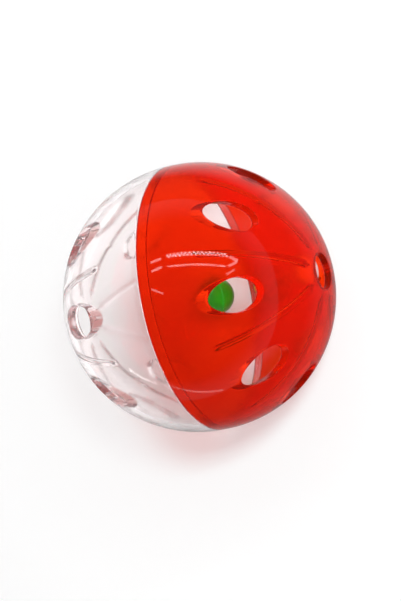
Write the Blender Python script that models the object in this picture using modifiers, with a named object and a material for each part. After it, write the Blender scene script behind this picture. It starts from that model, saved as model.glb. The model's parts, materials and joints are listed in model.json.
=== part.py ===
"""Cat bell ball: two perforated half shells that nest at the equator, with two loose jingle bells inside.

Metres, +Z up. The ball lies with its polar axis along X: the red pole points to +X, the clear pole to -X.
The origin is the centre of the ball. Each half shell is drawn with its pole up and its seam at z = 0,
then turned onto the polar axis.
"""
import math

import bmesh
import bpy
from mathutils import Matrix, Vector

# Half shells
BALL_RADIUS = 0.0300
RIM_LAND = 0.0005             # straight band next to the seam on each half
WALL = 0.0015
POLE_HOLE_RADIUS = 0.0040
HOLE_COUNT = 8
HOLE_RADIUS = 0.0037
HOLE_POLAR_ANGLE = math.radians(49.8)
SPIGOT_LENGTH = 0.0020        # how far the clear tongue reaches past the seam
SPIGOT_WALL = 0.0006
SPIGOT_CHAMFER = 0.0002
RIB_WIDTH = 0.0014
RIB_HEIGHT = 0.0005
RIB_START_ANGLE = math.radians(14)
RIB_END_ANGLE = math.radians(66)
RIB_NOSE = 0.45               # share of the rib's width left at its rounded ends
RED_HALF_TURN = math.radians(4.2)
CLEAR_HALF_TURN = math.radians(1.2)

# Jingle bells
BELL_RADIUS = 0.0043
BELL_WALL = 0.00035
BELL_FLANGE = 0.00035         # how far the crimped seam stands out
SLIT_WIDTH = 0.0010
SLIT_END_RADIUS = 0.0008
SLIT_END_ANGLE = math.radians(55)
LOOP_WIRE_RADIUS = 0.00028
LOOP_EYE_RADIUS = 0.0010      # of the wire's centre line
LOOP_EYE_ANGLE = math.radians(125)
LOOP_LEG_GAP = 0.00012        # between the two legs that share the crown hole
LOOP_FOOT = 0.0011            # reach of each clinched end inside the crown
PELLET_RADIUS = 0.0010
GREEN_BELL_LATITUDE = math.radians(-14.0)
YELLOW_BELL_LATITUDE = math.radians(20.3)
BELL_LEAN = math.radians(40)  # tilt of a bell's loop from upright, away from the seam

# Clearances
FIT_GAP = 0.0003              # between pieces that seat on or in each other
PELLET_GAP = 0.0003
BELL_GAP = 0.0003

# Fineness of the faceted surfaces
SHELL_STEPS = 48
SHELL_ARC_STEPS = 11
HOLE_SIDES = 24
RIB_STEPS = 8
CUP_STEPS = 24
CUP_ARC_STEPS = 6
SLIT_END_SIDES = 12
LOOP_ARC_STEPS = 14
PELLET_SEGMENTS = 12
PELLET_RINGS = 8

MERGE = 1e-6


def start_scene(part_name):
    """Empty the scene and return the collections for the parts and for their cutters."""
    for old in list(bpy.data.objects):
        bpy.data.objects.remove(old, do_unlink=True)
    collections = []
    for name in (part_name, part_name + "_cutters"):
        group = bpy.data.collections.new(name)
        bpy.context.scene.collection.children.link(group)
        collections.append(group)
    return collections


def plain_material(name, colour, roughness, metallic=0.0, alpha=1.0):
    material = bpy.data.materials.new(name)
    material.use_nodes = True
    shader = material.node_tree.nodes["Principled BSDF"]
    shader.inputs["Base Color"].default_value = (*colour, 1.0)
    shader.inputs["Roughness"].default_value = roughness
    shader.inputs["Metallic"].default_value = metallic
    shader.inputs["Alpha"].default_value = alpha
    return material


def add_object(name, data, group, parent=None):
    thing = bpy.data.objects.new(name, data)
    group.objects.link(thing)
    thing.parent = parent
    return thing


def add_guide(name, data, group, parent):
    """An object that only shapes another one."""
    guide = add_object(name, data, group, parent)
    guide.hide_render = True
    guide.display_type = "WIRE"
    return guide


def add_boolean(target, operation, guide):
    step = target.modifiers.new(guide.name, "BOOLEAN")
    step.operation = operation
    step.solver = "EXACT"
    step.object = guide


def arc(radius, centre_z, first_angle, last_angle, steps):
    """Points (r, z) on a circle about (0, centre_z); angles are measured from the pole."""
    points = []
    for i in range(steps + 1):
        angle = first_angle + (last_angle - first_angle) * i / steps
        points.append((radius * math.sin(angle), centre_z + radius * math.cos(angle)))
    return points


def turned(name, profile, steps, group, material, parent=None):
    """Turn a closed (r, z) profile, which runs down its outer side first, round the z axis."""
    mesh = bpy.data.meshes.new(name)
    corners = [(r, 0.0, z) for r, z in profile]
    edges = [(i, (i + 1) % len(corners)) for i in range(len(corners))]
    mesh.from_pydata(corners, edges, [])
    mesh.materials.append(material)
    thing = add_object(name, mesh, group, parent)
    screw = thing.modifiers.new("Turn", "SCREW")
    screw.axis = "Z"
    screw.angle = math.tau
    screw.screw_offset = 0.0
    screw.steps = steps
    screw.render_steps = steps
    screw.use_merge_vertices = True
    screw.merge_threshold = MERGE
    screw.use_smooth_shade = True
    return thing


def tube_curve(name, paths, radius, group, parent=None):
    """A curve of round bars; each path is a list of (point, share of the radius)."""
    curve = bpy.data.curves.new(name, "CURVE")
    curve.dimensions = "3D"
    curve.bevel_depth = radius
    curve.bevel_resolution = 2
    curve.use_fill_caps = True
    for path in paths:
        spline = curve.splines.new("POLY")
        spline.points.add(len(path) - 1)
        for knot, (place, share) in zip(spline.points, path):
            knot.co = (*place, 1.0)
            knot.radius = share
    return add_object(name, curve, group, parent)


def curve_to_mesh_guide(name, curve_object, group, parent):
    """Swap a curve for a closed mesh of the same shape, for use in a boolean."""
    bpy.context.view_layer.update()
    evaluated = curve_object.evaluated_get(bpy.context.evaluated_depsgraph_get())
    mesh = bpy.data.meshes.new_from_object(evaluated)
    bars = bmesh.new()
    bars.from_mesh(mesh)
    bmesh.ops.remove_doubles(bars, verts=bars.verts, dist=MERGE)
    bmesh.ops.recalc_face_normals(bars, faces=bars.faces)
    bars.to_mesh(mesh)
    bars.free()
    bpy.data.objects.remove(curve_object, do_unlink=True)
    return add_guide(name, mesh, group, parent)


def add_holes(shell, cutters):
    """Cut the ring of side holes. Their walls run parallel to the polar axis, the way the mould opens."""
    pitch_radius = BALL_RADIUS * math.sin(HOLE_POLAR_ANGLE)
    foot = SPIGOT_LENGTH + 2 * FIT_GAP
    top = BALL_RADIUS + RIM_LAND
    pins = bmesh.new()
    for i in range(HOLE_COUNT):
        angle = math.tau * i / HOLE_COUNT
        place = Vector((pitch_radius * math.cos(angle), pitch_radius * math.sin(angle), (foot + top) / 2))
        bmesh.ops.create_cone(pins, cap_ends=True, segments=HOLE_SIDES, radius1=HOLE_RADIUS,
                              radius2=HOLE_RADIUS, depth=top - foot, matrix=Matrix.Translation(place))
    mesh = bpy.data.meshes.new(shell.name + "_hole_pins")
    pins.to_mesh(mesh)
    pins.free()
    add_boolean(shell, "DIFFERENCE", add_guide(mesh.name, mesh, cutters, shell))


def add_ribs(shell, cutters):
    """Add a half-round rib inside the wall, midway between each two side holes."""
    bar_radius = RIB_WIDTH / 2
    line_radius = BALL_RADIUS - WALL + bar_radius - RIB_HEIGHT
    paths = []
    for i in range(HOLE_COUNT):
        turn = math.tau * (i + 0.5) / HOLE_COUNT
        path = []
        for k, (r, z) in enumerate(arc(line_radius, RIM_LAND, RIB_START_ANGLE, RIB_END_ANGLE, RIB_STEPS)):
            share = RIB_NOSE if k in (0, RIB_STEPS) else 1.0
            path.append(((r * math.cos(turn), r * math.sin(turn), z), share))
        paths.append(path)
    bars = tube_curve(shell.name + "_rib_lines", paths, bar_radius, cutters, shell)
    add_boolean(shell, "UNION", curve_to_mesh_guide(shell.name + "_ribs", bars, cutters, shell))


def wall_line(radius, last_angle=math.pi / 2):
    """One face of a half shell's wall, from the pole hole down to last_angle off the pole."""
    return arc(radius, RIM_LAND, math.asin(POLE_HOLE_RADIUS / radius), last_angle, SHELL_ARC_STEPS)


def clear_half_profile():
    """Wall of the clear half, which ends in a thin tongue that enters the red half."""
    inner_radius = BALL_RADIUS - WALL
    tongue_radius = inner_radius + SPIGOT_WALL
    rim = [
        (BALL_RADIUS, FIT_GAP / 2),
        (tongue_radius, FIT_GAP / 2),
        (tongue_radius, SPIGOT_CHAMFER - SPIGOT_LENGTH),
        (tongue_radius - SPIGOT_CHAMFER, -SPIGOT_LENGTH),
        (inner_radius, -SPIGOT_LENGTH),
    ]
    return wall_line(BALL_RADIUS) + rim + wall_line(inner_radius)[::-1]


def red_half_profile():
    """Wall of the red half, cut back inside its rim to take the clear half's tongue."""
    inner_radius = BALL_RADIUS - WALL
    rebate_radius = inner_radius + SPIGOT_WALL + FIT_GAP
    rebate_depth = SPIGOT_LENGTH + FIT_GAP
    step_angle = math.acos((rebate_depth - RIM_LAND) / inner_radius)
    rim = [
        (BALL_RADIUS, FIT_GAP / 2),
        (rebate_radius, FIT_GAP / 2),
        (rebate_radius, rebate_depth),
    ]
    return wall_line(BALL_RADIUS) + rim + wall_line(inner_radius, step_angle)[::-1]


def make_half_shell(name, profile, pole_turn, ring_turn, material, parts, cutters):
    """A perforated half shell, laid on the polar axis with its hole ring turned about that axis."""
    shell = turned(name, profile, SHELL_STEPS, parts, material)
    shell.matrix_world = Matrix.Rotation(pole_turn, 4, "Y") @ Matrix.Rotation(ring_turn, 4, "Z")
    add_holes(shell, cutters)
    add_ribs(shell, cutters)


def bell_place(latitude):
    """Centre of a bell that lies on the lowest line of the inner wall at this latitude."""
    orbit = BALL_RADIUS - WALL - BELL_RADIUS - BELL_GAP
    half_centre = math.copysign(RIM_LAND, latitude)
    return Vector((half_centre + orbit * math.sin(latitude), 0.0, -orbit * math.cos(latitude)))


def cup_profile(pole_opening):
    """Closed profile of a bell cup with its rim flange, from the edge of its pole opening to the seam."""
    inner_radius = BELL_RADIUS - BELL_WALL
    flange_radius = BELL_RADIUS + BELL_FLANGE
    rim_low = FIT_GAP / 2
    rim_high = rim_low + BELL_WALL
    outer = arc(BELL_RADIUS, 0.0, math.asin(pole_opening / BELL_RADIUS),
                math.acos(rim_high / BELL_RADIUS), CUP_ARC_STEPS)
    inner = arc(inner_radius, 0.0, math.asin(pole_opening / inner_radius),
                math.acos(rim_low / inner_radius), CUP_ARC_STEPS)
    return outer + [(flange_radius, rim_high), (flange_radius, rim_low)] + inner[::-1]


def add_slit(cup, cutters):
    """Cut the sound slit across the cup's pole, with a round hole at each end."""
    reach = BELL_RADIUS * math.sin(SLIT_END_ANGLE)
    foot = BELL_RADIUS * math.cos(SLIT_END_ANGLE)
    top = BELL_RADIUS + SLIT_WIDTH
    bar = Matrix.Diagonal((2 * reach, SLIT_WIDTH, top - foot, 1.0))
    slot = bmesh.new()
    bmesh.ops.create_cube(slot, size=1.0, matrix=Matrix.Translation((0.0, 0.0, (foot + top) / 2)) @ bar)
    drills = bmesh.new()
    for side in (-1, 1):
        aim = Matrix.Rotation(side * SLIT_END_ANGLE, 4, "Y") @ Matrix.Translation((0.0, 0.0, BELL_RADIUS))
        bmesh.ops.create_cone(drills, cap_ends=True, segments=SLIT_END_SIDES, radius1=SLIT_END_RADIUS,
                              radius2=SLIT_END_RADIUS, depth=BELL_RADIUS, matrix=aim)
    for name, shape in (("_slit", slot), ("_slit_ends", drills)):
        mesh = bpy.data.meshes.new(cup.name + name)
        shape.to_mesh(mesh)
        shape.free()
        add_boolean(cup, "DIFFERENCE", add_guide(mesh.name, mesh, cutters, cup))


def loop_path():
    """Wire of the hanging eye: a foot, a leg up through the crown hole, the eye, and back the same way."""
    leg = LOOP_WIRE_RADIUS + LOOP_LEG_GAP / 2
    foot_edge = math.asin((LOOP_FOOT + LOOP_WIRE_RADIUS) / (BELL_RADIUS - BELL_WALL))
    foot_height = (BELL_RADIUS - BELL_WALL) * math.cos(foot_edge) - LOOP_WIRE_RADIUS - FIT_GAP
    crown = BELL_RADIUS + FIT_GAP
    neck = (LOOP_EYE_RADIUS * math.sin(LOOP_EYE_ANGLE) - leg) * math.tan(LOOP_EYE_ANGLE - math.pi / 2)
    eye_centre = crown + neck - LOOP_EYE_RADIUS * math.cos(LOOP_EYE_ANGLE)
    eye = arc(LOOP_EYE_RADIUS, eye_centre, LOOP_EYE_ANGLE, -LOOP_EYE_ANGLE, LOOP_ARC_STEPS)
    right = [(LOOP_FOOT, foot_height), (leg, foot_height), (leg, crown)]
    left = [(-x, z) for x, z in reversed(right)]
    return [((x, 0.0, z), 1.0) for x, z in right + eye + left]


def make_pellet(name, axis_empty, steel, parts):
    """The loose ball that rings the bell, at the bottom of the bell."""
    drop = BELL_RADIUS - BELL_WALL - PELLET_RADIUS - PELLET_GAP
    ball = bmesh.new()
    bmesh.ops.create_uvsphere(ball, u_segments=PELLET_SEGMENTS, v_segments=PELLET_RINGS, radius=PELLET_RADIUS)
    mesh = bpy.data.meshes.new(name)
    ball.to_mesh(mesh)
    ball.free()
    mesh.shade_smooth()
    mesh.materials.append(steel)
    pellet = add_object(name, mesh, parts, axis_empty)
    pellet.location = (0.0, 0.0, -drop)


def make_bell(name, latitude, paint, steel, parts, cutters):
    """One jingle bell: two crimped cups, the wire eye and the loose pellet."""
    centre = bell_place(latitude)
    roll_axis = add_object(name + "_roll_axis", None, parts)
    seat = add_object(name + "_seat", None, parts, roll_axis)
    lean = Matrix.Rotation(math.copysign(BELL_LEAN, latitude), 4, "Y")
    seat.matrix_local = Matrix.Translation(centre) @ lean

    crown_hole = 2 * LOOP_WIRE_RADIUS + LOOP_LEG_GAP / 2 + FIT_GAP
    turned(name + "_upper_cup", cup_profile(crown_hole), CUP_STEPS, parts, paint, seat)
    # The turned lower cup stops short of its pole, inside the width of the slit.
    lower_cup = turned(name + "_lower_cup", cup_profile(SLIT_WIDTH / 3), CUP_STEPS, parts, paint, seat)
    lower_cup.matrix_local = Matrix.Rotation(math.pi, 4, "X") @ Matrix.Rotation(math.pi / 2, 4, "Z")
    add_slit(lower_cup, cutters)
    loop = tube_curve(name + "_loop", [loop_path()], LOOP_WIRE_RADIUS, parts, seat)
    loop.data.materials.append(steel)

    pellet_axis = add_object(name + "_pellet_axis", None, parts, roll_axis)
    pellet_axis.location = centre
    make_pellet(name + "_pellet", pellet_axis, steel, parts)


def main():
    parts, cutters = start_scene("cat_bell_ball")
    clear_plastic = plain_material("clear_plastic", (0.93, 0.87, 0.89), 0.08, alpha=0.3)
    red_plastic = plain_material("red_plastic", (0.72, 0.02, 0.01), 0.08, alpha=0.7)
    green_paint = plain_material("green_paint", (0.05, 0.30, 0.02), 0.35)
    yellow_paint = plain_material("yellow_paint", (0.85, 0.55, 0.03), 0.35)
    steel = plain_material("plated_steel", (0.55, 0.55, 0.56), 0.3, metallic=1.0)
    make_half_shell("clear_half_shell", clear_half_profile(), -math.pi / 2, -CLEAR_HALF_TURN,
                    clear_plastic, parts, cutters)
    make_half_shell("red_half_shell", red_half_profile(), math.pi / 2, RED_HALF_TURN,
                    red_plastic, parts, cutters)
    make_bell("green_bell", GREEN_BELL_LATITUDE, green_paint, steel, parts, cutters)
    make_bell("yellow_bell", YELLOW_BELL_LATITUDE, yellow_paint, steel, parts, cutters)


main()
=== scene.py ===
import json
import math

import bmesh
import bpy
import numpy as np
from mathutils import Matrix, Vector


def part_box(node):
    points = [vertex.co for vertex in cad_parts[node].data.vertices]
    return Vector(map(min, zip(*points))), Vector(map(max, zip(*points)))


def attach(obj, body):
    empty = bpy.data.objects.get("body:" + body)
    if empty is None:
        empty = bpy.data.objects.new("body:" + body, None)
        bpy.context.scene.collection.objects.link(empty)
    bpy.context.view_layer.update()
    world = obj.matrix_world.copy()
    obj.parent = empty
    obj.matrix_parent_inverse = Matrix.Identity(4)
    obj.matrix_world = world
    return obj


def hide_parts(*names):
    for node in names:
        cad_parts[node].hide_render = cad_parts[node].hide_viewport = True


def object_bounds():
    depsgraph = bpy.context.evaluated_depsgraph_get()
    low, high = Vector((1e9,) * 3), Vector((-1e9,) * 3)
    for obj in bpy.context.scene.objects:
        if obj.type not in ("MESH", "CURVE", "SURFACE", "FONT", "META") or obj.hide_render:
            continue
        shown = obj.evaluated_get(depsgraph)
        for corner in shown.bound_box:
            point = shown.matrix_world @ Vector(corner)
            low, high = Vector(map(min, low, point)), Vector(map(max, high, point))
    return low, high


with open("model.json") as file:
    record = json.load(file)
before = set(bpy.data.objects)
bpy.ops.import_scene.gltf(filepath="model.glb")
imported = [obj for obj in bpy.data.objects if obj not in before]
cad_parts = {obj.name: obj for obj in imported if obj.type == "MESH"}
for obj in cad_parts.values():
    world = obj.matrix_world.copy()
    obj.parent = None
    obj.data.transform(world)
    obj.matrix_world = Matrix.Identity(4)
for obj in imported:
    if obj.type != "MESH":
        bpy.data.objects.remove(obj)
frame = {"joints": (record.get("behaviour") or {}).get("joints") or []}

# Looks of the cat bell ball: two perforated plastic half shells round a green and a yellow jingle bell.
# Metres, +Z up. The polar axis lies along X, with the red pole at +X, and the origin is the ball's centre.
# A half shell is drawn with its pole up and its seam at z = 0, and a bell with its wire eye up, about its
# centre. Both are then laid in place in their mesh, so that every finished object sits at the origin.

CAD_BOX = [list(corner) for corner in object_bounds()]

# Half shells
BALL_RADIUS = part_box("clear_half_shell")[1][2]
RIM_LAND = 0.0005             # straight band next to the seam on each half
WALL = 0.0015
INNER_RADIUS = BALL_RADIUS - WALL
POLE_HOLE_RADIUS = 0.0040
HOLE_COUNT = 8
HOLE_RADIUS = 0.0037
HOLE_TILT = math.radians(49.8)  # angle off the pole of the middle of a side hole
HOLE_PITCH_RADIUS = BALL_RADIUS * math.sin(HOLE_TILT)
SECTOR_HALF = math.pi / HOLE_COUNT
EDGE_ROUND = 0.00018          # round on every moulded edge
RIM_ROUND = EDGE_ROUND / 2    # finer round on the edges of the seam
SEAM_GAP = 0.00006
SPIGOT_LENGTH = 0.0020        # how far the clear tongue reaches past the seam, in a rebate of the red half
SPIGOT_WALL = 0.0006
RIB_HALF_WIDTH = 0.0009
RIB_HEIGHT = 0.00045
RIB_START = math.radians(14)  # the ribs run between these two angles off the pole
RIB_END = math.radians(66)
RED_HALF_TURN = math.radians(4.2)
CLEAR_HALF_TURN = math.radians(1.2)

# Satin finish of a half shell's faces; the polished outer face has none
HOLE_SATIN = 1.0
RIM_SATIN = 1.5
INNER_SATIN = 2.0

# Mesh steps of one sector of a half shell
RIM_STEPS = 18                # along the rim
SIDE_STEPS = 44               # along each side
POLE_STEPS = 16               # along the pole hole
ROUND_STEPS = 4               # across a rounded edge
HOLE_WALL_STEPS = 3
# Rows of points on a wall face, as shares of the way from the side hole to the sector's border.
# The inner face has more of them near the border, where the ribs are.
OUTER_LAYERS = [0, .03, .08, .15, .24, .34, .45, .57, .70, .82, .92, 1]
INNER_LAYERS = [0, .03, .08, .16, .26, .37, .47, .55, .62, .68, .73, .77, .80]
INNER_LAYERS += [.82 + .01 * i for i in range(19)]

# Jingle bells
BELL_RADIUS = 0.0043
BELL_WALL = 0.00035
BELL_FLANGE = 0.00035
BELL_LEAN = math.radians(40)  # tilt of a bell's eye from upright, away from the seam
CRIMP_SHEET = BELL_WALL / 2   # sheet of the rim that is rolled round the lower cup's flange
CRIMP_HALF_HEIGHT = 0.0004
CRIMP_BEND = CRIMP_SHEET * 0.8
CRIMP_GAP = CRIMP_SHEET / 3   # between the rolled rim and the lower cup's wall
UPPER_SEAM = CRIMP_SHEET / 4  # how far each cup stays off the plane of the bell's seam
LOWER_SEAM = CRIMP_SHEET / 3
UPPER_WALL_END = CRIMP_SHEET / 2
LOWER_FLANGE = CRIMP_SHEET * 0.9
SLIT_WIDTH = 0.0010
SLIT_END_RADIUS = 0.0008
SLIT_END_ANGLE = math.radians(55)
SLIT_LIP = 0.00008            # depth of the chamfer along the slit
SLIT_LIP_SHARE = 0.012        # its width, as a share of the way from the slit to the rim
LOOP_WIRE_RADIUS = 0.00028
LOOP_EYE_RADIUS = 0.0010
LOOP_EYE_ANGLE = math.radians(125)
LOOP_LEG_GAP = 0.00012
LOOP_FOOT = 0.0011
LOOP_FOOT_DROP = 1.3          # from the crown's inner wall to the middle of the foot, in wire radii
LOOP_BEND = 0.00030           # bending radius of the wire's corners
CROWN_HOLE_GAP = 0.00012
CROWN_HOLE_RADIUS = 2 * LOOP_WIRE_RADIUS + LOOP_LEG_GAP / 2 + CROWN_HOLE_GAP
PELLET_RADIUS = 0.0010
PELLET_MEAN = 0.985           # mean size, lumps and flat spot, as shares of the radius
PELLET_LUMP = 0.012
PELLET_FLAT = 0.96
LUMP_WAVES = (7, 6, 8)
LUMP_SHIFTS = (1, 2, 0)

# Mesh steps of a bell
CUP_COLUMNS = 96
CUP_LAYERS = 16
CUP_EASE = 1.4                # crowds the lower cup's rows towards its slit
SLIT_END_STEPS = CUP_COLUMNS // 10
SLIT_SIDE_STEPS = CUP_COLUMNS // 2 - 2 * SLIT_END_STEPS
EYE_STEPS = 40
WIRE_SIDES = 16
BEND_STEPS = 6
PELLET_SUBDIVISIONS = 4

# Finishes
CLEAR_PLASTIC = dict(colour=(1.0, 0.99, 0.99), absorbed=(2.0, 9.0, 8.0), clarity=0.95, passed=0.945,
                     dulling=0.03)
RED_PLASTIC = dict(colour=(0.985, 0.040, 0.005), absorbed=(22.0, 160.0, 700.0), clarity=0.88, passed=0.80,
                   dulling=0.08)
PLASTIC_IOR = 1.50
GREEN_PAINT = dict(colour=(0.033, 0.73, 0.023), dark=(0.028, 0.63, 0.027))
YELLOW_PAINT = dict(colour=(0.87, 0.58, 0.02), dark=(0.80, 0.47, 0.02))
PAINT_COAT = 0.25
PAINT_COAT_ROUGHNESS = 0.2
STEEL_COLOUR = (0.62, 0.61, 0.60)
NOISE_SPAN = (0.3, 0.7)       # where most values of a noise lie
DENSITY_MARGIN = 1.02         # keeps the strongest absorbed colour just above black
WHITE = (1.0, 1.0, 1.0, 1.0)

# Camera, in the photograph's frame of 401 by 601 pixels
IMAGE_SIZE = (401, 601)
BALL_CENTRE_PIXEL = (199.54, 297.03)
OUTLINE_PIXELS = 135.0        # radius of the ball's outline
CENTRE_PIXELS = 134.45        # length of a ball radius at the ball's centre
CAMERA_RADII = 17             # distance of the camera, in ball radii
CAMERA_DISTANCE = CAMERA_RADII * BALL_RADIUS
FOCAL_PIXELS = CENTRE_PIXELS * CAMERA_RADII
TO_CAMERA = Vector((0.4109, -0.0218, 0.9114))
CAMERA_UP = Vector((0.1875, 0.9804, -0.0611))
SENSOR_HEIGHT = 36.0          # millimetres
CLIP_START = 0.01

# Floor. A span is a stretch of distance, and levels are the values at its two ends.
FLOOR_SIZE = 3.0
FLOOR_LEVEL = CAD_BOX[0][2]
FLOOR_WHITE = (0.76, 0.76, 0.76, 1.0)
# Painted light on the floor: the glow the camera sees rises away from the ball, whitening the far floor and
# the outer edge of the shadow.
OPEN_SPAN = (0.055, 0.09)     # off the ball's centre: glow that the camera sees
OPEN_LEVELS = (0.24, 0.29)
# The floor in the ball's reflections is a painted reflection: a pale glow near the ball that fades away,
# darker towards +x and -y as painted shade of the ball's shadow.
NEAR_SPAN = (0.045, 0.10)     # off the ball's centre: from the near to the far floor in reflections
CLOSE_SPAN = (-0.04, 0.05)    # along x - y: the near floor in reflections
CLOSE_LEVELS = (0.75, 0.2)
FAR_SLANT = 0.8
FAR_SPAN = (-0.08, 0.02)      # along x + FAR_SLANT * |y|: the far floor in reflections
FAR_LEVELS = (0.7, 0.05)
# Painted light under the ball, seen only through the plastic: brighter towards +y, where light would reach in
# from that side.
UNDER_SPAN = (0.0, 0.02)      # along y: glow that shows through the plastic
UNDER_LEVELS = (0.13, 0.47)
UNDER_SHIFT = 0.021           # that glow rises by UNDER_RISE times the square of x + UNDER_SHIFT
UNDER_RISE = 460.0
UNDER_MOST = 0.75

# Surround. A span is a stretch of a direction's share along an axis.
SURROUND_LIGHT = 0.12
SEEN_LEVEL = 1.0              # white where the camera sees it
OVERHEAD_SPAN = (0.0, 0.4)    # along z: in reflections
OVERHEAD_LEVELS = (0.3, 0.02)
HORIZON_SPAN = (-0.8, 0.0)    # along y: through the plastic, low down
HORIZON_LEVELS = (0.25, 0.85)
SKY_SLANT = -0.8
SKY_SPAN = (-0.6, 0.1)        # along x + SKY_SLANT * y: through the plastic, higher up
SKY_LEVELS = (0.75, 0.14)
CANOPY_SPAN = (0.0, 0.2)      # along z: from the horizon to the sky

# Lamps
FILL_DISTANCE = 0.75
FILL_SIZE = (0.07, 0.07)
FILL_POWER = 2.1
KEY_DISTANCE = 0.9
KEY_DIRECTION = Vector((0.50, 0.17, 0.85))
KEY_SIZE = (0.13, 0.13)
KEY_POWER = 4.8
STRIP_DISTANCE = 0.6
# Strip lamps that the ball mirrors. A strip's reflection runs from its first to its last pixel in the
# photograph's frame. bulbs breaks it into that many small lamps a row, and a strip with through=False
# doesn't show through the plastic.
STRIPS = (
    dict(name="upper_row", first=(166, 259), last=(224, 258), height=0.034, power=0.30, bulbs=16),
    dict(name="lower_row", first=(167, 269), last=(222, 268), height=0.016, power=0.10, bulbs=16),
    dict(name="low_row", first=(167, 382), last=(220, 387), height=0.018, power=0.032, bulbs=18,
         through=False),
    dict(name="low_end", first=(133, 366), last=(160, 380), height=0.024, power=0.07, bulbs=8,
         through=False),
    dict(name="upper_end", first=(151, 265), last=(161, 261), height=0.020, power=0.03),
    dict(name="lower_end", first=(152, 273), last=(162, 269), height=0.020, power=0.03),
    dict(name="side_end", first=(152, 290), last=(163, 294), height=0.016, power=0.02),
    dict(name="upper_tip", first=(226, 259), last=(234, 263), height=0.026, power=0.03),
    dict(name="middle_tip", first=(225, 268), last=(233, 264), height=0.022, power=0.025),
    dict(name="lower_tip", first=(223, 276), last=(231, 271), height=0.018, power=0.015),
)
ROW_EDGE = 0.5                # where a strip's upper row of bulbs begins, as a share of its height
ROW_SHIFT = 0.5               # how far the upper row is staggered, in bulbs
BULB_GAP = 0.6                # dark share of each bulb's length
BULB_LEVEL = 2.5              # makes up for the dark gaps
MOST_BOUNCES = 40
WALL_BOUNCES = 32

MERGE = 2e-7
TINY_ANGLE = 1e-9


# Mesh helpers

def grid_quads(rows, columns, closed_rows=False, closed_columns=False):
    """Quads of a grid of points stored row by row."""
    quads = []
    for i in range(rows if closed_rows else rows - 1):
        for k in range(columns if closed_columns else columns - 1):
            here = i * columns
            below = (i + 1) % rows * columns
            beside = (k + 1) % columns
            quads.append((here + k, here + beside, below + beside, below + k))
    return quads


class Patchwork:
    """Collects grids of points that together make one surface, with a share of satin finish at each point."""

    def __init__(self):
        self.points = []
        self.faces = []
        self.satin = []

    def add(self, rows, closed_rows=False, closed_columns=False, flip=False, satin=0.0):
        first = len(self.points)
        for row in rows:
            self.points.extend(tuple(p) for p in row)
            self.satin.extend(satin for p in row)
        for quad in grid_quads(len(rows), len(rows[0]), closed_rows, closed_columns):
            corners = tuple(first + i for i in quad)
            self.faces.append(corners[::-1] if flip else corners)

    def to_mesh(self, name):
        mesh = bpy.data.meshes.new(name)
        mesh.from_pydata(self.points, [], self.faces)
        mesh.attributes.new("satin", "FLOAT", "POINT").data.foreach_set("value", self.satin)
        return mesh


def new_object(name, data):
    thing = bpy.data.objects.new(name, data)
    bpy.context.scene.collection.objects.link(thing)
    return thing


def weld(mesh):
    """Merge doubles and point the faces of a closed surface outwards."""
    work = bmesh.new()
    work.from_mesh(mesh)
    bmesh.ops.remove_doubles(work, verts=work.verts, dist=MERGE)
    bmesh.ops.recalc_face_normals(work, faces=work.faces)
    if work.calc_volume(signed=True) < 0:
        bmesh.ops.reverse_faces(work, faces=work.faces)
    work.to_mesh(mesh)
    work.free()
    mesh.shade_smooth()


def frozen(name, thing, place):
    """Turn an object's evaluated shape into a plain mesh object with its place in its mesh."""
    bpy.context.view_layer.update()
    mesh = bpy.data.meshes.new_from_object(thing.evaluated_get(bpy.context.evaluated_depsgraph_get()))
    bpy.data.objects.remove(thing, do_unlink=True)
    mesh.name = name
    mesh.transform(place)
    weld(mesh)
    return new_object(name, mesh)


def slerp(a, b, share):
    """Unit vector between the unit vectors a and b."""
    angle = math.acos(max(-1.0, min(1.0, float(np.dot(a, b)))))
    if angle < TINY_ANGLE:
        return a
    return (math.sin((1 - share) * angle) * a + math.sin(share * angle) * b) / math.sin(angle)


def shares(count, ease=1.0):
    """Rising shares from 0 to 1; an ease above 1 crowds them towards 0."""
    return [(i / count) ** ease for i in range(count + 1)]


# Node helpers

def add_node(tree, kind, links=None, **settings):
    """Add a node; links maps an input name or index to a socket or to a plain value."""
    node = tree.nodes.new(kind)
    for key, value in settings.items():
        setattr(node, key, value)
    for key, value in (links or {}).items():
        if isinstance(value, bpy.types.NodeSocket):
            tree.links.new(value, node.inputs[key])
        else:
            node.inputs[key].default_value = value
    return node


def maths(tree, operation, *values, use_clamp=False):
    """Result of one sum on sockets or plain numbers."""
    node = add_node(tree, "ShaderNodeMath", dict(enumerate(values)), operation=operation, use_clamp=use_clamp)
    return node.outputs[0]


def ramp(tree, value, span, levels, curve="LINEAR"):
    """Result that goes from the first level to the last while the value crosses the span."""
    sockets = {"Value": value, "From Min": span[0], "From Max": span[1],
               "To Min": levels[0], "To Max": levels[1]}
    return add_node(tree, "ShaderNodeMapRange", sockets, interpolation_type=curve).outputs[0]


def ray_kind(tree, kind):
    return add_node(tree, "ShaderNodeLightPath").outputs[kind]


# Geometry node trees

def input_socket(tree, name, kind, value=None):
    socket = tree.interface.new_socket(name, in_out="INPUT", socket_type=kind)
    if value is not None:
        socket.default_value = value


def new_tree(name):
    tree = bpy.data.node_groups.new(name, "GeometryNodeTree")
    tree.interface.new_socket("Geometry", in_out="INPUT", socket_type="NodeSocketGeometry")
    tree.interface.new_socket("Geometry", in_out="OUTPUT", socket_type="NodeSocketGeometry")
    return tree


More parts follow.
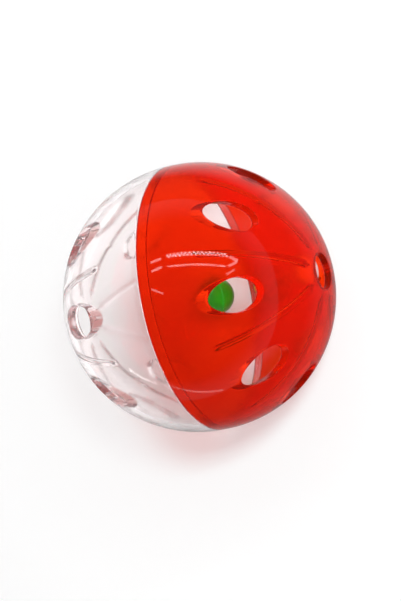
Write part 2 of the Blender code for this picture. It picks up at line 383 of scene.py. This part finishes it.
def ring_tree():
    """Repeats one sector of a half shell round the pole and welds the sectors into one shell."""
    tree = new_tree("ring_of_sectors")
    input_socket(tree, "Sectors", "NodeSocketInt", HOLE_COUNT)
    input_socket(tree, "Weld Distance", "NodeSocketFloat", MERGE)
    input_socket(tree, "Material", "NodeSocketMaterial")
    given = add_node(tree, "NodeGroupInput")
    points = add_node(tree, "GeometryNodeMeshLine",
                      {"Count": given.outputs["Sectors"], "Offset": (0.0, 0.0, 0.0)})
    index = add_node(tree, "GeometryNodeInputIndex")
    part = maths(tree, "DIVIDE", index.outputs[0], given.outputs["Sectors"])
    angle = maths(tree, "MULTIPLY", part, math.tau)
    turn = add_node(tree, "ShaderNodeCombineXYZ", {"Z": angle})
    copies = add_node(tree, "GeometryNodeInstanceOnPoints",
                      {"Points": points.outputs["Mesh"], "Instance": given.outputs["Geometry"],
                       "Rotation": turn.outputs[0]})
    real = add_node(tree, "GeometryNodeRealizeInstances", {"Geometry": copies.outputs[0]})
    welded = add_node(tree, "GeometryNodeMergeByDistance",
                      {"Geometry": real.outputs[0], "Distance": given.outputs["Weld Distance"]})
    painted = add_node(tree, "GeometryNodeSetMaterial",
                       {"Geometry": welded.outputs[0], "Material": given.outputs["Material"]})
    add_node(tree, "NodeGroupOutput", {"Geometry": painted.outputs[0]})
    return tree


def wire_tree():
    """Bends a wire along a path: rounds the path's corners, then sweeps a circle along it."""
    tree = new_tree("bent_wire")
    input_socket(tree, "Wire Radius", "NodeSocketFloat", LOOP_WIRE_RADIUS)
    input_socket(tree, "Bend Radius", "NodeSocketFloat", LOOP_BEND)
    input_socket(tree, "Sides", "NodeSocketInt", WIRE_SIDES)
    input_socket(tree, "Material", "NodeSocketMaterial")
    given = add_node(tree, "NodeGroupInput")
    bends = add_node(tree, "GeometryNodeFilletCurve",
                     {"Curve": given.outputs["Geometry"], "Count": BEND_STEPS,
                      "Radius": given.outputs["Bend Radius"], "Limit Radius": True}, mode="POLY")
    ring = add_node(tree, "GeometryNodeCurvePrimitiveCircle",
                    {"Resolution": given.outputs["Sides"], "Radius": given.outputs["Wire Radius"]})
    wire = add_node(tree, "GeometryNodeCurveToMesh",
                    {"Curve": bends.outputs[0], "Profile Curve": ring.outputs["Curve"], "Fill Caps": True})
    real = add_node(tree, "GeometryNodeRealizeInstances", {"Geometry": wire.outputs[0]})
    painted = add_node(tree, "GeometryNodeSetMaterial",
                       {"Geometry": real.outputs[0], "Material": given.outputs["Material"]})
    add_node(tree, "NodeGroupOutput", {"Geometry": painted.outputs[0]})
    return tree


def use_tree(thing, tree, **values):
    """Put a tree on an object and set its inputs, by the sockets' identifiers."""
    modifier = thing.modifiers.new(tree.name, "NODES")
    modifier.node_group = tree
    for item in tree.interface.items_tree:
        key = item.name.lower().replace(" ", "_")
        if item.in_out == "INPUT" and key in values:
            modifier[item.identifier] = values[key]


# Half shells

def hole_round(radius, outwards, angle):
    """Points of the rounded edge between a spherical wall face and a side hole, from the face to the hole.

    outwards is 1 for the outer face and -1 for the inner one; angle runs round the hole from the rim side."""
    across = np.array([math.cos(angle), math.sin(angle), 0.0])
    middle = np.array([HOLE_PITCH_RADIUS, 0.0, 0.0]) + (HOLE_RADIUS + EDGE_ROUND) * across
    reach = radius - outwards * EDGE_ROUND
    middle[2] = math.sqrt(reach ** 2 - middle[0] ** 2 - middle[1] ** 2)
    face_normal = outwards * middle / reach
    points = [middle + EDGE_ROUND * slerp(face_normal, -across, s) for s in shares(ROUND_STEPS)]
    return [p + np.array([0.0, 0.0, RIM_LAND]) for p in points]


def pole_angle(radius, outwards):
    """Angle off the pole where a wall face meets the rounded edge of the pole hole."""
    return math.asin((POLE_HOLE_RADIUS + EDGE_ROUND) / (radius - outwards * EDGE_ROUND))


def pole_round(radius, outwards):
    """Profile (r, z) of the rounded edge of the pole hole, from the wall face to the hole."""
    angle = pole_angle(radius, outwards)
    reach = radius - outwards * EDGE_ROUND
    middle = np.array([reach * math.sin(angle), reach * math.cos(angle)])
    normal = outwards * middle / reach
    points = [middle + EDGE_ROUND * slerp(normal, np.array([-1.0, 0.0]), s) for s in shares(ROUND_STEPS)]
    return [(r, z + RIM_LAND) for r, z in points]


def rib_height(point):
    """How far the ribs stand in from the inner wall at this direction off the half's centre."""
    x, y, z = point
    turn = math.atan2(y, x)
    nearest = (math.floor(turn / (2 * SECTOR_HALF)) + 0.5) * 2 * SECTOR_HALF
    off = turn - nearest
    level = math.hypot(x, y)
    along = math.atan2(level * math.cos(off), z)
    sideways = math.asin(level * math.sin(off))
    past = max(RIB_START - along, along - RIB_END, 0.0)
    distance = min(INNER_RADIUS * math.hypot(sideways, past), RIB_HALF_WIDTH)
    return RIB_HEIGHT * (1 + math.cos(math.pi * distance / RIB_HALF_WIDTH)) / 2


def sector_border(first_angle, last_angle):
    """(angle off the pole, turn) of points round one sector, from the middle of the rim and back."""
    rim = RIM_STEPS // 2
    span = last_angle - first_angle
    border = [(last_angle, SECTOR_HALF * i / rim) for i in range(rim)]
    border += [(last_angle - span * i / SIDE_STEPS, SECTOR_HALF) for i in range(SIDE_STEPS)]
    border += [(first_angle, SECTOR_HALF * (1 - 2 * i / POLE_STEPS)) for i in range(POLE_STEPS)]
    border += [(first_angle + span * i / SIDE_STEPS, -SECTOR_HALF) for i in range(SIDE_STEPS)]
    border += [(last_angle, SECTOR_HALF * (i / rim - 1)) for i in range(rim)]
    return border


def hole_angles():
    """Angles round a side hole that look along the way to each border point."""
    length = math.asin((HOLE_PITCH_RADIUS + HOLE_RADIUS) / BALL_RADIUS) - HOLE_TILT
    width = math.asin(HOLE_RADIUS / HOLE_PITCH_RADIUS)
    border = sector_border(pole_angle(BALL_RADIUS, 1), math.pi / 2)
    return [math.atan2(turn / width, (tilt - HOLE_TILT) / length) for tilt, turn in border]


def on_sphere(radius, tilt, turn):
    return np.array([radius * math.sin(tilt) * math.cos(turn), radius * math.sin(tilt) * math.sin(turn),
                     RIM_LAND + radius * math.cos(tilt)])


def wall_face(radius, outwards, last_angle, layers, edge_points):
    """Rows of points of one wall face in a sector, from the side hole's rounded edge to the border."""
    border = sector_border(pole_angle(radius, outwards), last_angle)
    columns = []
    for (tilt, turn), start in zip(border, edge_points):
        x, y, z = start
        start_tilt = math.atan2(math.hypot(x, y), z - RIM_LAND)
        start_turn = math.atan2(y, x)
        column = []
        for share in layers:
            point = (start_tilt + (tilt - start_tilt) * share, start_turn + (turn - start_turn) * share)
            height = rib_height(on_sphere(1.0, *point) - np.array([0, 0, RIM_LAND])) if outwards < 0 else 0.0
            column.append(on_sphere(radius - height, *point))
        columns.append(column)
    return [list(row) for row in zip(*columns)]


def swept(profile, turns):
    """Rows of points of a profile (r, z) turned through the given angles."""
    return [[(r * math.cos(a), r * math.sin(a), z) for a in turns] for r, z in profile]


def rounded_corner(before, corner, after, radius):
    """Points of a profile's corner, rounded by a quarter-like bend of the given size."""
    before, corner, after = (np.array(p) for p in (before, corner, after))
    start = corner + radius * (before - corner) / np.linalg.norm(before - corner)
    end = corner + radius * (after - corner) / np.linalg.norm(after - corner)
    points = [(1 - s) ** 2 * start + 2 * s * (1 - s) * corner + s ** 2 * end for s in shares(ROUND_STEPS)]
    return [tuple(p) for p in points]


def softened(corners, radius):
    """An open profile with each inner corner rounded."""
    line = [corners[0]]
    for before, corner, after in zip(corners, corners[1:], corners[2:]):
        line += rounded_corner(before, corner, after, radius)
    return line + [corners[-1]]


def clear_rim():
    """Profile of the clear half's rim, from the outer wall round the tongue to the inner wall."""
    tongue = INNER_RADIUS + SPIGOT_WALL
    return softened([
        (BALL_RADIUS, RIM_LAND), (BALL_RADIUS, SEAM_GAP / 2), (tongue, SEAM_GAP / 2),
        (tongue, -SPIGOT_LENGTH), (INNER_RADIUS, -SPIGOT_LENGTH), (INNER_RADIUS, RIM_LAND)], RIM_ROUND)


def red_rim():
    """Profile of the red half's rim, from the outer wall round the rebate to the inner wall."""
    rebate = INNER_RADIUS + SPIGOT_WALL + SEAM_GAP
    depth = SPIGOT_LENGTH + SEAM_GAP
    inside = math.sqrt(INNER_RADIUS ** 2 - (depth - RIM_LAND) ** 2)
    return softened([
        (BALL_RADIUS, RIM_LAND), (BALL_RADIUS, SEAM_GAP / 2), (rebate, SEAM_GAP / 2), (rebate, depth),
        (inside, depth)], RIM_ROUND)


def shell_sector(name, rim):
    """One sector of a half shell, with its side hole in the middle and half a rib along each side."""
    patch = Patchwork()
    angles = hole_angles()
    outer_edges = [hole_round(BALL_RADIUS, 1, a) for a in angles]
    inner_edges = [hole_round(INNER_RADIUS, -1, a) for a in angles]
    inner_end = math.acos((rim[-1][1] - RIM_LAND) / INNER_RADIUS)
    outer = wall_face(BALL_RADIUS, 1, math.pi / 2, OUTER_LAYERS, [e[0] for e in outer_edges])
    inner = wall_face(INNER_RADIUS, -1, inner_end, INNER_LAYERS, [e[0] for e in inner_edges])
    patch.add(outer, closed_columns=True)
    patch.add(inner, closed_columns=True, flip=True, satin=INNER_SATIN)
    hole = []
    for top, bottom in zip(outer_edges, inner_edges):
        wall = [top[-1] + (bottom[-1] - top[-1]) * s for s in shares(HOLE_WALL_STEPS)]
        hole.append(top[:-1] + wall + bottom[-2::-1])
    patch.add([list(row) for row in zip(*hole)], closed_columns=True, flip=True, satin=HOLE_SATIN)

    pole_profile = pole_round(BALL_RADIUS, 1) + pole_round(INNER_RADIUS, -1)[::-1]
    pole_turns = [SECTOR_HALF * (1 - 2 * i / POLE_STEPS) for i in range(POLE_STEPS + 1)]
    patch.add(swept(pole_profile, pole_turns), flip=True, satin=HOLE_SATIN)
    rim_turns = [SECTOR_HALF * (2 * i / RIM_STEPS - 1) for i in range(RIM_STEPS + 1)]
    patch.add(swept(rim, rim_turns), flip=True, satin=RIM_SATIN)
    return new_object(name, patch.to_mesh(name))


def make_half_shell(name, node, rim, place, material, tree):
    sector = shell_sector(name + "_sector", rim)
    use_tree(sector, tree, sectors=HOLE_COUNT, weld_distance=MERGE, material=material)
    shell = frozen(name, sector, place)
    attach(shell, "ball")
    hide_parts(node)


# Jingle bells

def circle_rows(profile, columns=CUP_COLUMNS):
    """Rows of points of a profile (r, z) turned all the way round."""
    return swept(profile, [math.tau * k / columns for k in range(columns)])


def arc_profile(radius, first_angle, last_angle, steps):
    """Points (r, z) of an arc about the bell's centre; angles are measured from the pole."""
    step = (last_angle - first_angle) / steps
    return [(radius * math.sin(first_angle + step * i), radius * math.cos(first_angle + step * i))
            for i in range(steps + 1)]


def upper_cup_mesh(name):
    """The upper cup, with the crown hole for the wire and its rim rolled round the lower cup's flange."""
    outer = BELL_RADIUS
    inner = BELL_RADIUS - BELL_WALL
    roll = BELL_RADIUS + BELL_FLANGE
    roll_inside = roll - CRIMP_SHEET
    roll_floor = CRIMP_SHEET - CRIMP_HALF_HEIGHT
    rim_angle = math.acos(CRIMP_HALF_HEIGHT / outer)
    wall_end = math.acos(UPPER_WALL_END / inner)
    profile = arc_profile(outer, math.asin(CROWN_HOLE_RADIUS / outer), rim_angle, CUP_LAYERS)
    profile += softened([
        profile[-1], (roll, CRIMP_HALF_HEIGHT), (roll, -CRIMP_HALF_HEIGHT),
        (outer + CRIMP_GAP, -CRIMP_HALF_HEIGHT), (outer + CRIMP_GAP, roll_floor), (roll_inside, roll_floor),
        (roll_inside, UPPER_SEAM), (inner, UPPER_SEAM)], CRIMP_BEND)[1:]
    profile += arc_profile(inner, wall_end, math.asin(CROWN_HOLE_RADIUS / inner), CUP_LAYERS)
    patch = Patchwork()
    patch.add(circle_rows(profile), closed_rows=True, closed_columns=True)
    return patch.to_mesh(name)


def slit_outline():
    """Directions round the sound slit: a straight cut with a drilled round end on each side."""
    half_width = SLIT_WIDTH / 2 / BELL_RADIUS
    end_radius = SLIT_END_RADIUS / BELL_RADIUS
    meet = math.pi - math.asin(half_width / end_radius)
    meet_at = SLIT_END_ANGLE + end_radius * math.cos(meet)
    half = []
    for i in range(SLIT_END_STEPS):
        a = meet * i / SLIT_END_STEPS
        half.append((SLIT_END_ANGLE + end_radius * math.cos(a), end_radius * math.sin(a)))
    half += [(meet_at * (1 - 2 * i / SLIT_SIDE_STEPS), half_width) for i in range(SLIT_SIDE_STEPS)]
    for i in range(SLIT_END_STEPS):
        a = meet * (1 - i / SLIT_END_STEPS)
        half.append((-SLIT_END_ANGLE - end_radius * math.cos(a), end_radius * math.sin(a)))
    outline = half + [(-along, -across) for along, across in half]
    return [np.array([math.sin(s) * math.cos(c), math.sin(c), math.cos(s) * math.cos(c)]) for s, c in outline]


def lower_cup_mesh(name):
    """The lower cup, with the sound slit across its pole and a flat flange at the seam."""
    outer = BELL_RADIUS
    inner = BELL_RADIUS - BELL_WALL
    flange = outer + LOWER_FLANGE
    outline = slit_outline()
    rim_level = math.acos(CRIMP_SHEET / outer)

    def sphere_row(radius, share):
        row = []
        for k, start in enumerate(outline):
            turn = math.tau * k / len(outline)
            goal = np.array([math.sin(rim_level) * math.cos(turn), math.sin(rim_level) * math.sin(turn),
                             math.cos(rim_level)])
            row.append(tuple(radius * slerp(start, goal, share)))
        return row

    steps = shares(CUP_LAYERS, CUP_EASE)
    rows = [sphere_row(inner + SLIT_LIP, 0.0), sphere_row(outer - SLIT_LIP, 0.0)]
    rows += [sphere_row(outer, s) for s in [SLIT_LIP_SHARE] + steps[1:]]
    rows += circle_rows([(flange, CRIMP_SHEET), (flange, LOWER_SEAM), (inner, LOWER_SEAM)], len(outline))
    rows += [sphere_row(inner, s) for s in steps[:0:-1] + [SLIT_LIP_SHARE]]
    patch = Patchwork()
    patch.add(rows, closed_rows=True, closed_columns=True)
    return patch.to_mesh(name)


def loop_curve(name):
    """Path of the wire eye: a foot, a leg up through the crown hole, the eye, and back the same way."""
    leg = LOOP_WIRE_RADIUS + LOOP_LEG_GAP / 2
    inner = BELL_RADIUS - BELL_WALL
    foot_angle = math.asin((LOOP_FOOT + LOOP_WIRE_RADIUS) / inner)
    foot = inner * math.cos(foot_angle) - LOOP_FOOT_DROP * LOOP_WIRE_RADIUS
    crown = BELL_RADIUS + LOOP_WIRE_RADIUS
    neck = (LOOP_EYE_RADIUS * math.sin(LOOP_EYE_ANGLE) - leg) * math.tan(LOOP_EYE_ANGLE - math.pi / 2)
    centre = crown + neck - LOOP_EYE_RADIUS * math.cos(LOOP_EYE_ANGLE)
    right = [(LOOP_FOOT, foot), (leg, foot), (leg, crown)]
    arc = arc_profile(LOOP_EYE_RADIUS, LOOP_EYE_ANGLE, -LOOP_EYE_ANGLE, EYE_STEPS)
    eye = [(x, centre + z) for x, z in arc]
    path = right + eye + [(-x, z) for x, z in reversed(right)]
    curve = bpy.data.curves.new(name, "CURVE")
    curve.dimensions = "3D"
    line = curve.splines.new("POLY")
    line.points.add(len(path) - 1)
    for knot, (x, z) in zip(line.points, path):
        knot.co = (x, 0.0, z, 1.0)
    return new_object(name, curve)


def pellet_mesh(name):
    """A steel shot: a ball with the slight lumps and the one flat spot of a tumbled blank."""
    work = bmesh.new()
    bmesh.ops.create_icosphere(work, subdivisions=PELLET_SUBDIVISIONS, radius=PELLET_RADIUS)
    for point in work.verts:
        normal = point.co.normalized()
        lumps = math.prod(math.sin(wave * share + shift)
                          for wave, share, shift in zip(LUMP_WAVES, normal, LUMP_SHIFTS))
        point.co = normal * PELLET_RADIUS * (PELLET_MEAN + PELLET_LUMP * lumps)
        point.co.z = min(point.co.z, PELLET_FLAT * PELLET_RADIUS)
    mesh = bpy.data.meshes.new(name)
    work.to_mesh(mesh)
    work.free()
    return mesh


def finish_piece(piece, body, node, material=None):
    """Give a piece its finish and let it ride in place of its CAD node."""
    if material is not None:
        piece.data.materials.append(material)
    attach(piece, body)
    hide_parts(node)


def make_bell(colour, lean, paint, steel, wire):
    """A jingle bell in its place on the ball's inner wall."""
    bell = colour + "_bell"
    joint = next(j for j in frame["joints"] if j["name"] == colour + "_pellet_roll")
    centre = Vector(joint["pos_m"])
    place = Matrix.Translation(centre) @ Matrix.Rotation(lean, 4, "Y")
    upside_down = place @ Matrix.Rotation(math.pi, 4, "X") @ Matrix.Rotation(math.pi / 2, 4, "Z")

    upper = frozen(bell + "_upper", new_object("cup", upper_cup_mesh("cup")), place)
    finish_piece(upper, bell, bell + "_upper_cup", paint)
    lower = frozen(bell + "_lower", new_object("cup", lower_cup_mesh("cup")), upside_down)
    finish_piece(lower, bell, bell + "_lower_cup", paint)

    path = loop_curve("path")
    use_tree(path, wire, wire_radius=LOOP_WIRE_RADIUS, bend_radius=LOOP_BEND, sides=WIRE_SIDES,
             material=steel)
    finish_piece(frozen(bell + "_eye", path, place), bell, bell + "_loop")

    low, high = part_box(bell + "_pellet")
    middle = (Vector(low) + Vector(high)) / 2
    pellet = frozen(bell + "_shot", new_object("shot", pellet_mesh("shot")), Matrix.Translation(middle))
    finish_piece(pellet, colour + "_pellet", bell + "_pellet", steel)


# Materials

def new_material(name):
    material = bpy.data.materials.new(name)
    material.use_nodes = True
    tree = material.node_tree
    return material, tree, tree.nodes["Principled BSDF"]


def noise(tree, scale, detail=2.0):
    where = add_node(tree, "ShaderNodeTexCoord")
    sockets = {"Vector": where.outputs["Object"], "Scale": scale, "Detail": detail}
    return add_node(tree, "ShaderNodeTexNoise", sockets).outputs["Fac"]


def set_bump(tree, shader, height, strength, distance):
    bump = add_node(tree, "ShaderNodeBump", {"Height": height, "Strength": strength, "Distance": distance})
    tree.links.new(bump.outputs[0], shader.inputs["Normal"])


def moulded_plastic(name, colour, absorbed, clarity, passed, dulling):
    """See-through moulded plastic.

    colour tints light at each pass through a wall, absorbed is the further loss per metre of depth in each
    colour, clarity is the share of light that isn't scattered, passed the share of lamp light that one face
    lets in, and dulling the roughness that one share of satin finish adds."""
    material, tree, shader = new_material(name)
    shader.inputs["Base Color"].default_value = (*colour, 1.0)
    shader.inputs["Transmission Weight"].default_value = clarity
    shader.inputs["IOR"].default_value = PLASTIC_IOR
    smudges = ramp(tree, noise(tree, scale=160.0, detail=3.0), NOISE_SPAN, levels=(0.012, 0.045))
    satin = add_node(tree, "ShaderNodeAttribute", attribute_name="satin")
    rough = maths(tree, "MULTIPLY_ADD", satin.outputs["Fac"], dulling, smudges)
    tree.links.new(rough, shader.inputs["Roughness"])
    flow = noise(tree, scale=55.0, detail=1.0)
    set_bump(tree, shader, flow, strength=0.03, distance=0.0004)

    density = max(absorbed) * DENSITY_MARGIN
    inside = add_node(tree, "ShaderNodeVolumeAbsorption")
    inside.inputs["Color"].default_value = (*[1 - a / density for a in absorbed], 1.0)
    inside.inputs["Density"].default_value = density
    output = tree.nodes["Material Output"]
    tree.links.new(inside.outputs[0], output.inputs["Volume"])

    # Light that falls on other surfaces passes straight through the walls.
    lighting = maths(tree, "MAXIMUM", ray_kind(tree, "Is Shadow Ray"), ray_kind(tree, "Is Diffuse Ray"))
    through = add_node(tree, "ShaderNodeBsdfTransparent")
    through.inputs["Color"].default_value = (*[passed * math.sqrt(c) for c in colour], 1.0)
    either = add_node(tree, "ShaderNodeMixShader", {0: lighting, 1: shader.outputs[0], 2: through.outputs[0]})
    tree.links.new(either.outputs[0], output.inputs["Surface"])
    return material


def bell_paint(name, colour, dark):
    """Satin lacquer on pressed steel, with a little orange peel and cloudy cover."""
    material, tree, shader = new_material(name)
    cloud = ramp(tree, noise(tree, scale=420.0, detail=3.0), NOISE_SPAN, levels=(0.0, 1.0))
    # In a Mix node that mixes colours, inputs 6 and 7 and output 2 are the colours.
    tone = add_node(tree, "ShaderNodeMix", {"Factor": cloud, 6: (*dark, 1.0), 7: (*colour, 1.0)},
                    data_type="RGBA")
    tree.links.new(tone.outputs[2], shader.inputs["Base Color"])
    rough = ramp(tree, noise(tree, scale=900.0), NOISE_SPAN, levels=(0.30, 0.42))
    tree.links.new(rough, shader.inputs["Roughness"])
    shader.inputs["Coat Weight"].default_value = PAINT_COAT
    shader.inputs["Coat Roughness"].default_value = PAINT_COAT_ROUGHNESS
    peel = noise(tree, scale=2600.0)
    set_bump(tree, shader, peel, strength=0.12, distance=0.00003)
    return material


def plated_steel():
    """Bright plated wire and shot, with fine drawing marks."""
    material, tree, shader = new_material("plated_steel_finish")
    shader.inputs["Metallic"].default_value = 1.0
    shader.inputs["Base Color"].default_value = (*STEEL_COLOUR, 1.0)
    rough = ramp(tree, noise(tree, scale=3000.0, detail=3.0), NOISE_SPAN, levels=(0.16, 0.34))
    tree.links.new(rough, shader.inputs["Roughness"])
    marks = noise(tree, scale=5200.0)
    set_bump(tree, shader, marks, strength=0.08, distance=0.00002)
    return material


# Stage

def mirrored(tree):
    """1 for rays that come off a shiny surface; light bent through plastic also counts as glossy."""
    glossy = ray_kind(tree, "Is Glossy Ray")
    return maths(tree, "SUBTRACT", glossy, ray_kind(tree, "Is Transmission Ray"), use_clamp=True)


def painted_floor_reflection(tree, x, y, away):
    """Painted reflection: the floor's level in the ball's reflections, a pale sheet that fades to the right,
    with painted shade of the ball's shadow towards -y.
    """
    close = ramp(tree, maths(tree, "SUBTRACT", x, y), CLOSE_SPAN, CLOSE_LEVELS)
    slanted = maths(tree, "MULTIPLY_ADD", maths(tree, "ABSOLUTE", y), FAR_SLANT, x)
    far = ramp(tree, slanted, FAR_SPAN, FAR_LEVELS)
    return ramp(tree, away, NEAR_SPAN, (close, far), "SMOOTHSTEP")


def painted_glow_under_ball(tree, x, y):
    """Painted light: glow of the floor where it shows through the plastic, standing in for light that reaches
    under the ball from the +y side; least under the clear half on the near side.
    """
    under = ramp(tree, y, UNDER_SPAN, UNDER_LEVELS)
    off = maths(tree, "POWER", maths(tree, "ADD", x, UNDER_SHIFT), 2.0)
    below = maths(tree, "MULTIPLY_ADD", off, UNDER_RISE, under)
    return maths(tree, "MINIMUM", below, UNDER_MOST)


def make_floor():
    """White floor that keeps the ball's shadow; its painted light is a glow to the camera that is weaker near
    the ball, a painted reflection for shiny rays and a painted glow under the ball through the plastic.
    """
    half = FLOOR_SIZE / 2
    corners = [(-half, -half, FLOOR_LEVEL), (half, -half, FLOOR_LEVEL),
               (half, half, FLOOR_LEVEL), (-half, half, FLOOR_LEVEL)]
    mesh = bpy.data.meshes.new("floor")
    mesh.from_pydata(corners, [], [(0, 1, 2, 3)])
    material = bpy.data.materials.new("white_floor")
    material.use_nodes = True
    tree = material.node_tree
    tree.nodes.remove(tree.nodes["Principled BSDF"])

    where = add_node(tree, "ShaderNodeTexCoord").outputs["Object"]
    away = add_node(tree, "ShaderNodeVectorMath", {0: where}, operation="LENGTH").outputs["Value"]
    parts = add_node(tree, "ShaderNodeSeparateXYZ", {0: where})
    x = parts.outputs["X"]
    y = parts.outputs["Y"]
    matt = add_node(tree, "ShaderNodeBsdfDiffuse", {"Color": FLOOR_WHITE})
    # Painted reflection: shiny rays see a glowing sheet instead of the lit floor.
    painted_reflection_level = painted_floor_reflection(tree, x, y, away)
    sheet = add_node(tree, "ShaderNodeEmission", {"Color": WHITE, "Strength": painted_reflection_level})
    plain = add_node(tree, "ShaderNodeMixShader",
                     {0: mirrored(tree), 1: matt.outputs[0], 2: sheet.outputs[0]})
    # Painted light: the floor's glow to the camera is weaker near the ball and stronger far off.
    painted_floor_glow = ramp(tree, away, OPEN_SPAN, OPEN_LEVELS)
    seen = maths(tree, "MULTIPLY", ray_kind(tree, "Is Camera Ray"), painted_floor_glow)
    # Painted light: the glow under the ball that only rays through the plastic see.
    through = painted_glow_under_ball(tree, x, y)
    painted_glow_strength = maths(tree, "MULTIPLY_ADD", ray_kind(tree, "Is Transmission Ray"), through, seen)
    glow = add_node(tree, "ShaderNodeEmission", {"Color": WHITE, "Strength": painted_glow_strength})
    both = add_node(tree, "ShaderNodeAddShader", {0: plain.outputs[0], 1: glow.outputs[0]})
    tree.links.new(both.outputs[0], tree.nodes["Material Output"].inputs["Surface"])
    mesh.materials.append(material)
    new_object("floor", mesh)


def make_world():
    """White surround that gives a little light, shows pale through the plastic and is dim in reflections."""
    world = bpy.data.worlds.new("studio")
    bpy.context.scene.world = world
    world.use_nodes = True
    tree = world.node_tree
    where = add_node(tree, "ShaderNodeTexCoord").outputs["Generated"]
    parts = add_node(tree, "ShaderNodeSeparateXYZ", {0: where})
    x = parts.outputs["X"]
    y = parts.outputs["Y"]
    z = parts.outputs["Z"]
    overhead = ramp(tree, z, OVERHEAD_SPAN, OVERHEAD_LEVELS, "SMOOTHSTEP")
    horizon = ramp(tree, y, HORIZON_SPAN, HORIZON_LEVELS)
    sky = ramp(tree, maths(tree, "MULTIPLY_ADD", y, SKY_SLANT, x), SKY_SPAN, SKY_LEVELS)
    canopy = ramp(tree, z, CANOPY_SPAN, (horizon, sky), "SMOOTHSTEP")
    unseen = add_node(tree, "ShaderNodeMix", {"Factor": mirrored(tree), "A": SURROUND_LIGHT, "B": overhead})
    bent = add_node(tree, "ShaderNodeMix",
                    {"Factor": ray_kind(tree, "Is Transmission Ray"), "A": unseen.outputs[0], "B": canopy})
    level = add_node(tree, "ShaderNodeMix",
                     {"Factor": ray_kind(tree, "Is Camera Ray"), "A": bent.outputs[0], "B": SEEN_LEVEL})
    background = tree.nodes["Background"]
    background.inputs["Color"].default_value = WHITE
    tree.links.new(level.outputs[0], background.inputs["Strength"])


def make_lamp(name, middle, along, size, power):
    """A rectangular lamp that looks at the ball, with its long side the given way."""
    data = bpy.data.lights.new(name, "AREA")
    data.shape = "RECTANGLE"
    data.size, data.size_y = size
    data.energy = power
    lamp = new_object(name, data)
    back = middle.normalized()
    upright = back.cross(along).normalized()
    turn = Matrix((upright.cross(back), upright, back)).transposed().to_4x4()
    lamp.matrix_world = Matrix.Translation(middle) @ turn
    return lamp


def beads(lamp, bulbs):
    """Break a strip lamp into two staggered rows of small bulbs."""
    lamp.use_nodes = True
    tree = lamp.node_tree
    where = add_node(tree, "ShaderNodeNewGeometry")
    parts = add_node(tree, "ShaderNodeSeparateXYZ", {0: where.outputs["Parametric"]})
    row = maths(tree, "GREATER_THAN", parts.outputs["Y"], ROW_EDGE)
    shift = maths(tree, "MULTIPLY", row, ROW_SHIFT)
    along = maths(tree, "MULTIPLY_ADD", parts.outputs["X"], float(bulbs), shift)
    lit = maths(tree, "GREATER_THAN", maths(tree, "FRACT", along), BULB_GAP)
    level = maths(tree, "MULTIPLY", lit, BULB_LEVEL)
    tree.links.new(level, tree.nodes["Emission"].inputs["Strength"])


def camera_axes():
    """The camera's right, up and back directions."""
    back = TO_CAMERA.normalized()
    right = CAMERA_UP.cross(back).normalized()
    return right, back.cross(right), back


def mirrored_from(pixel):
    """Direction that the ball's front mirrors to the camera at a pixel of the photograph's frame."""
    right, up, back = camera_axes()
    x = (pixel[0] - BALL_CENTRE_PIXEL[0]) / OUTLINE_PIXELS
    y = (BALL_CENTRE_PIXEL[1] - pixel[1]) / OUTLINE_PIXELS
    normal = x * right + y * up + math.sqrt(1 - x * x - y * y) * back
    return 2 * normal.dot(back) * normal - back


def make_strip(name, first, last, height, power, bulbs=0, through=True):
    """A strip lamp whose reflection runs between two pixels."""
    start = STRIP_DISTANCE * mirrored_from(first)
    end = STRIP_DISTANCE * mirrored_from(last)
    along = end - start
    strip = make_lamp(name, (start + end) / 2, along, (along.length, height), power)
    strip.visible_transmission = through
    if bulbs:
        beads(strip.data, bulbs)


def make_lamps():
    right, _, back = camera_axes()
    fill = make_lamp("front_fill", FILL_DISTANCE * back, right, FILL_SIZE, FILL_POWER)
    key = make_lamp("key_softbox", KEY_DISTANCE * KEY_DIRECTION, Vector((1.0, 0.0, 0.0)), KEY_SIZE, KEY_POWER)
    for lamp in (fill, key):
        lamp.visible_glossy = False
        lamp.visible_transmission = False
    for strip in STRIPS:
        make_strip(**strip)


def make_camera():
    right, up, back = camera_axes()
    data = bpy.data.cameras.new("camera")
    data.sensor_fit = "VERTICAL"
    data.sensor_height = SENSOR_HEIGHT
    data.lens = FOCAL_PIXELS * SENSOR_HEIGHT / IMAGE_SIZE[1]
    data.shift_x = (IMAGE_SIZE[0] / 2 - BALL_CENTRE_PIXEL[0]) / IMAGE_SIZE[1]
    data.shift_y = (BALL_CENTRE_PIXEL[1] - IMAGE_SIZE[1] / 2) / IMAGE_SIZE[1]
    data.clip_start = CLIP_START
    camera = new_object("camera", data)
    turn = Matrix((right, up, back)).transposed().to_4x4()
    camera.matrix_world = Matrix.Translation(back * CAMERA_DISTANCE) @ turn
    bpy.context.scene.camera = camera


def main():
    scene = bpy.context.scene
    scene.view_settings.view_transform = "Standard"
    # Light runs to and fro inside the clear walls many times before it leaves them.
    scene.cycles.max_bounces = MOST_BOUNCES
    scene.cycles.glossy_bounces = WALL_BOUNCES
    scene.cycles.transmission_bounces = WALL_BOUNCES
    make_camera()
    make_floor()
    make_world()
    make_lamps()

    clear_plastic = moulded_plastic("clear_plastic_finish", **CLEAR_PLASTIC)
    red_plastic = moulded_plastic("red_plastic_finish", **RED_PLASTIC)
    green_paint = bell_paint("green_paint_finish", **GREEN_PAINT)
    yellow_paint = bell_paint("yellow_paint_finish", **YELLOW_PAINT)
    steel = plated_steel()

    ring = ring_tree()
    clear_place = Matrix.Rotation(-math.pi / 2, 4, "Y") @ Matrix.Rotation(-CLEAR_HALF_TURN, 4, "Z")
    make_half_shell("clear_half", "clear_half_shell", clear_rim(), clear_place, clear_plastic,
                    ring)
    red_place = Matrix.Rotation(math.pi / 2, 4, "Y") @ Matrix.Rotation(RED_HALF_TURN, 4, "Z")
    make_half_shell("red_half", "red_half_shell", red_rim(), red_place, red_plastic, ring)
    wire = wire_tree()
    make_bell("green", -BELL_LEAN, green_paint, steel, wire)
    make_bell("yellow", BELL_LEAN, yellow_paint, steel, wire)


main()
